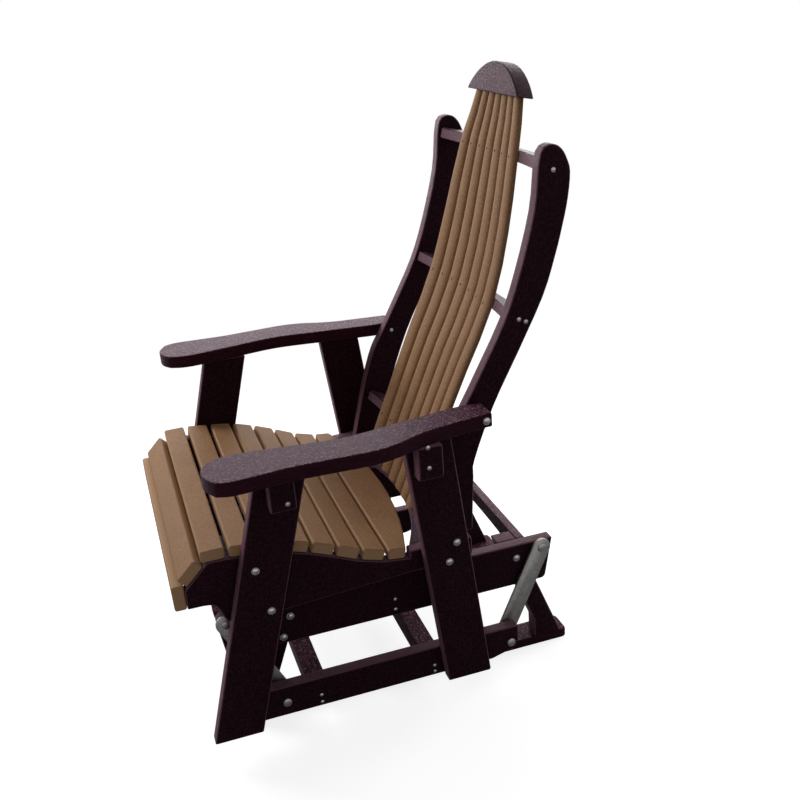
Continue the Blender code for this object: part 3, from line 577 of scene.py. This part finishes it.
leg_face, bracket_face, upright_face, upright_inner = 0.3154, 0.3497, 0.2640, 0.2386
arm_face, arm_tail_y = 0.3229, 0.1905
seat_bolts = [(leg_face, -0.255, 0.394, 1), (leg_face, -0.237, 0.306, 1), (leg_face, 0.123, 0.356, 1),
              (leg_face, 0.106, 0.318, 1), (arm_face, arm_tail_y, 0.593, 1)]
fasteners("seat_bolt_heads", "seat", both_sides(seat_bolts), zinc, bolt_size)
small_bolts = [(bracket_face, -0.188, 0.529, 1), (bracket_face, 0.068, 0.5787, 1),
               (bracket_face, 0.068, 0.539, 1), (upright_face, 0.358, 1.0107, 1),
               (upright_face, 0.285, 0.7513, 1), (upright_face, 0.2987, 0.7448, 1),
               (upright_inner, 0.191, 0.596, -1)]
fasteners("small_bolt_heads", "seat", both_sides(small_bolts), zinc, small_bolt_size)
base_bolts = [(base_face, -0.195, 0.238, 1), (base_face, -0.213, 0.195, 1), (base_face, 0.272, 0.243, 1)]
fasteners("base_bolt_heads", "base", both_sides(base_bolts), zinc, bolt_size)
seat_screws = [(rail_outer, y, z, 1)
               for y, z in ((-0.162, 0.075), (-0.162, 0.059), (0.070, 0.073), (0.070, 0.059))]
fasteners("seat_screw_heads", "seat", both_sides(seat_screws), screw_zinc, screw_size)
base_screws = [(base_face, 0.013, 0.217, 1), (base_face, 0.012, 0.194, 1)]
fasteners("base_screw_heads", "base", both_sides(base_screws), screw_zinc, screw_size)

# The back slats' screw heads are drawn dark brown.
dark_screw = plated_steel("dark_brown_screw_steel", ("#2a201b", "#40332b"), 0.002, (0.45, 0.60))
slat_spots = [slat_screws("back_slat_" + str(i), "back_rail_" + rail)
              for i in range(1, 8) for rail in ("low", "middle", "high")]
fasteners("slat_screw_heads", "seat", slat_spots, dark_screw, slat_screw_size)


# Floor and light: a plain pale floor that keeps the chair's shadow and turns to white further out,
# white surroundings for the camera and for reflections, a large soft lamp in front on the right hand
# of the sitter, a soft wall of light beside it and a weaker lamp high behind the back.

ambient_strength = 0.28
floor_glow = 0.81          # what the camera sees of the floor beside its paint
fade_near, fade_far = 0.75, 1.9    # metres from the middle, between which the floor turns to white

world = bpy.data.worlds.new("white_surroundings")
bpy.context.scene.world = world
sky = cleared(world)
path = add(sky, "ShaderNodeLightPath")
seen = add(sky, "ShaderNodeMath", {"operation": "MAXIMUM"},
           {0: path.outputs["Is Camera Ray"], 1: path.outputs["Is Glossy Ray"]})
shown = add(sky, "ShaderNodeMath", {"operation": "MAXIMUM"},
            {0: seen.outputs[0], 1: path.outputs["Is Transmission Ray"]})
ambient = add(sky, "ShaderNodeBackground", {"Color": linear("#f4f6fb"), "Strength": ambient_strength})
white = add(sky, "ShaderNodeBackground", {"Color": linear("#ffffff"), "Strength": 1.0})
both = add(sky, "ShaderNodeMixShader", None,
           {0: shown.outputs[0], 1: ambient.outputs[0], 2: white.outputs[0]})
add(sky, "ShaderNodeOutputWorld", None, {"Surface": both.outputs[0]})

floor_paint = bpy.data.materials.new("matte_white_floor")
tree = cleared(floor_paint)
place = add(tree, "ShaderNodeTexCoord")
reach = add(tree, "ShaderNodeVectorMath", {"operation": "LENGTH"}, {0: place.outputs["Object"]})
fade = add(tree, "ShaderNodeMapRange", {"interpolation_type": "SMOOTHSTEP", 1: fade_near, 2: fade_far},
           {0: reach.outputs["Value"]})
path = add(tree, "ShaderNodeLightPath")
paint = add(tree, "ShaderNodeBsdfDiffuse", {"Color": linear("#b8b8b8")})
glowing = add(tree, "ShaderNodeMath", {"operation": "MULTIPLY", 1: floor_glow},
              {0: path.outputs["Is Camera Ray"]})
glow = add(tree, "ShaderNodeEmission", {"Color": linear("#ffffff")}, {"Strength": glowing.outputs[0]})
near = add(tree, "ShaderNodeAddShader", None, {0: paint.outputs[0], 1: glow.outputs[0]})
white_out = add(tree, "ShaderNodeEmission", {"Color": linear("#ffffff"), "Strength": 1.0})
amount = add(tree, "ShaderNodeMath", {"operation": "MULTIPLY"},
             {0: fade.outputs[0], 1: path.outputs["Is Camera Ray"]})
surface = add(tree, "ShaderNodeMixShader", None,
              {0: amount.outputs[0], 1: near.outputs[0], 2: white_out.outputs[0]})
add(tree, "ShaderNodeOutputMaterial", None, {"Surface": surface.outputs[0]})
ground = bpy.data.meshes.new("floor")
ground.from_pydata([(-6, -6, 0), (6, -6, 0), (6, 6, 0), (-6, 6, 0)], [], [(0, 1, 2, 3)])
ground.materials.append(floor_paint)
link("floor", ground)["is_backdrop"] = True


def soft_lamp(name, place, aim, width, height, watts):
    """A lit rectangle that faces the aim."""
    lamp = bpy.data.lights.new(name, "AREA")
    lamp.shape = "RECTANGLE"
    lamp.size, lamp.size_y = width, height
    lamp.energy = watts
    stand = link(name, lamp)
    stand.location = place
    stand.rotation_euler = (Vector(aim) - stand.location).to_track_quat("-Z", "Y").to_euler()


soft_lamp("front_soft_lamp", (-2.3, -1.9, 1.9), (0.0, 0.05, 0.5), 1.6, 1.6, 74)
soft_lamp("side_soft_wall", (-2.6, 0.7, 1.5), (0.0, 0.0, 0.5), 3.0, 1.8, 48)
soft_lamp("rear_soft_lamp", (-0.5, 2.1, 2.2), (0.0, 0.2, 0.4), 1.4, 1.4, 22)


# Camera: the photograph's view, from the sitter's left and a little in front, above the arms. Its
# axes are those that were fitted to the board corners in the photograph.

lens = bpy.data.cameras.new("photo_view")
lens.sensor_width = 36.0
lens.lens = 45.741
camera = link("photo_view", lens)
right = Vector((0.31166596, 0.94728285, -0.07429353))
down = Vector((0.34666429, -0.18615749, -0.91933088))
ahead = Vector((-0.88469667, 0.26076922, -0.38640809))
turned = Matrix((right, -down, -ahead)).transposed().to_4x4()
camera.matrix_world = Matrix.Translation((1.8723, -0.4243, 1.3427)) @ turned
bpy.context.scene.camera = camera
bpy.context.scene.view_settings.view_transform = "Standard"

low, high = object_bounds()
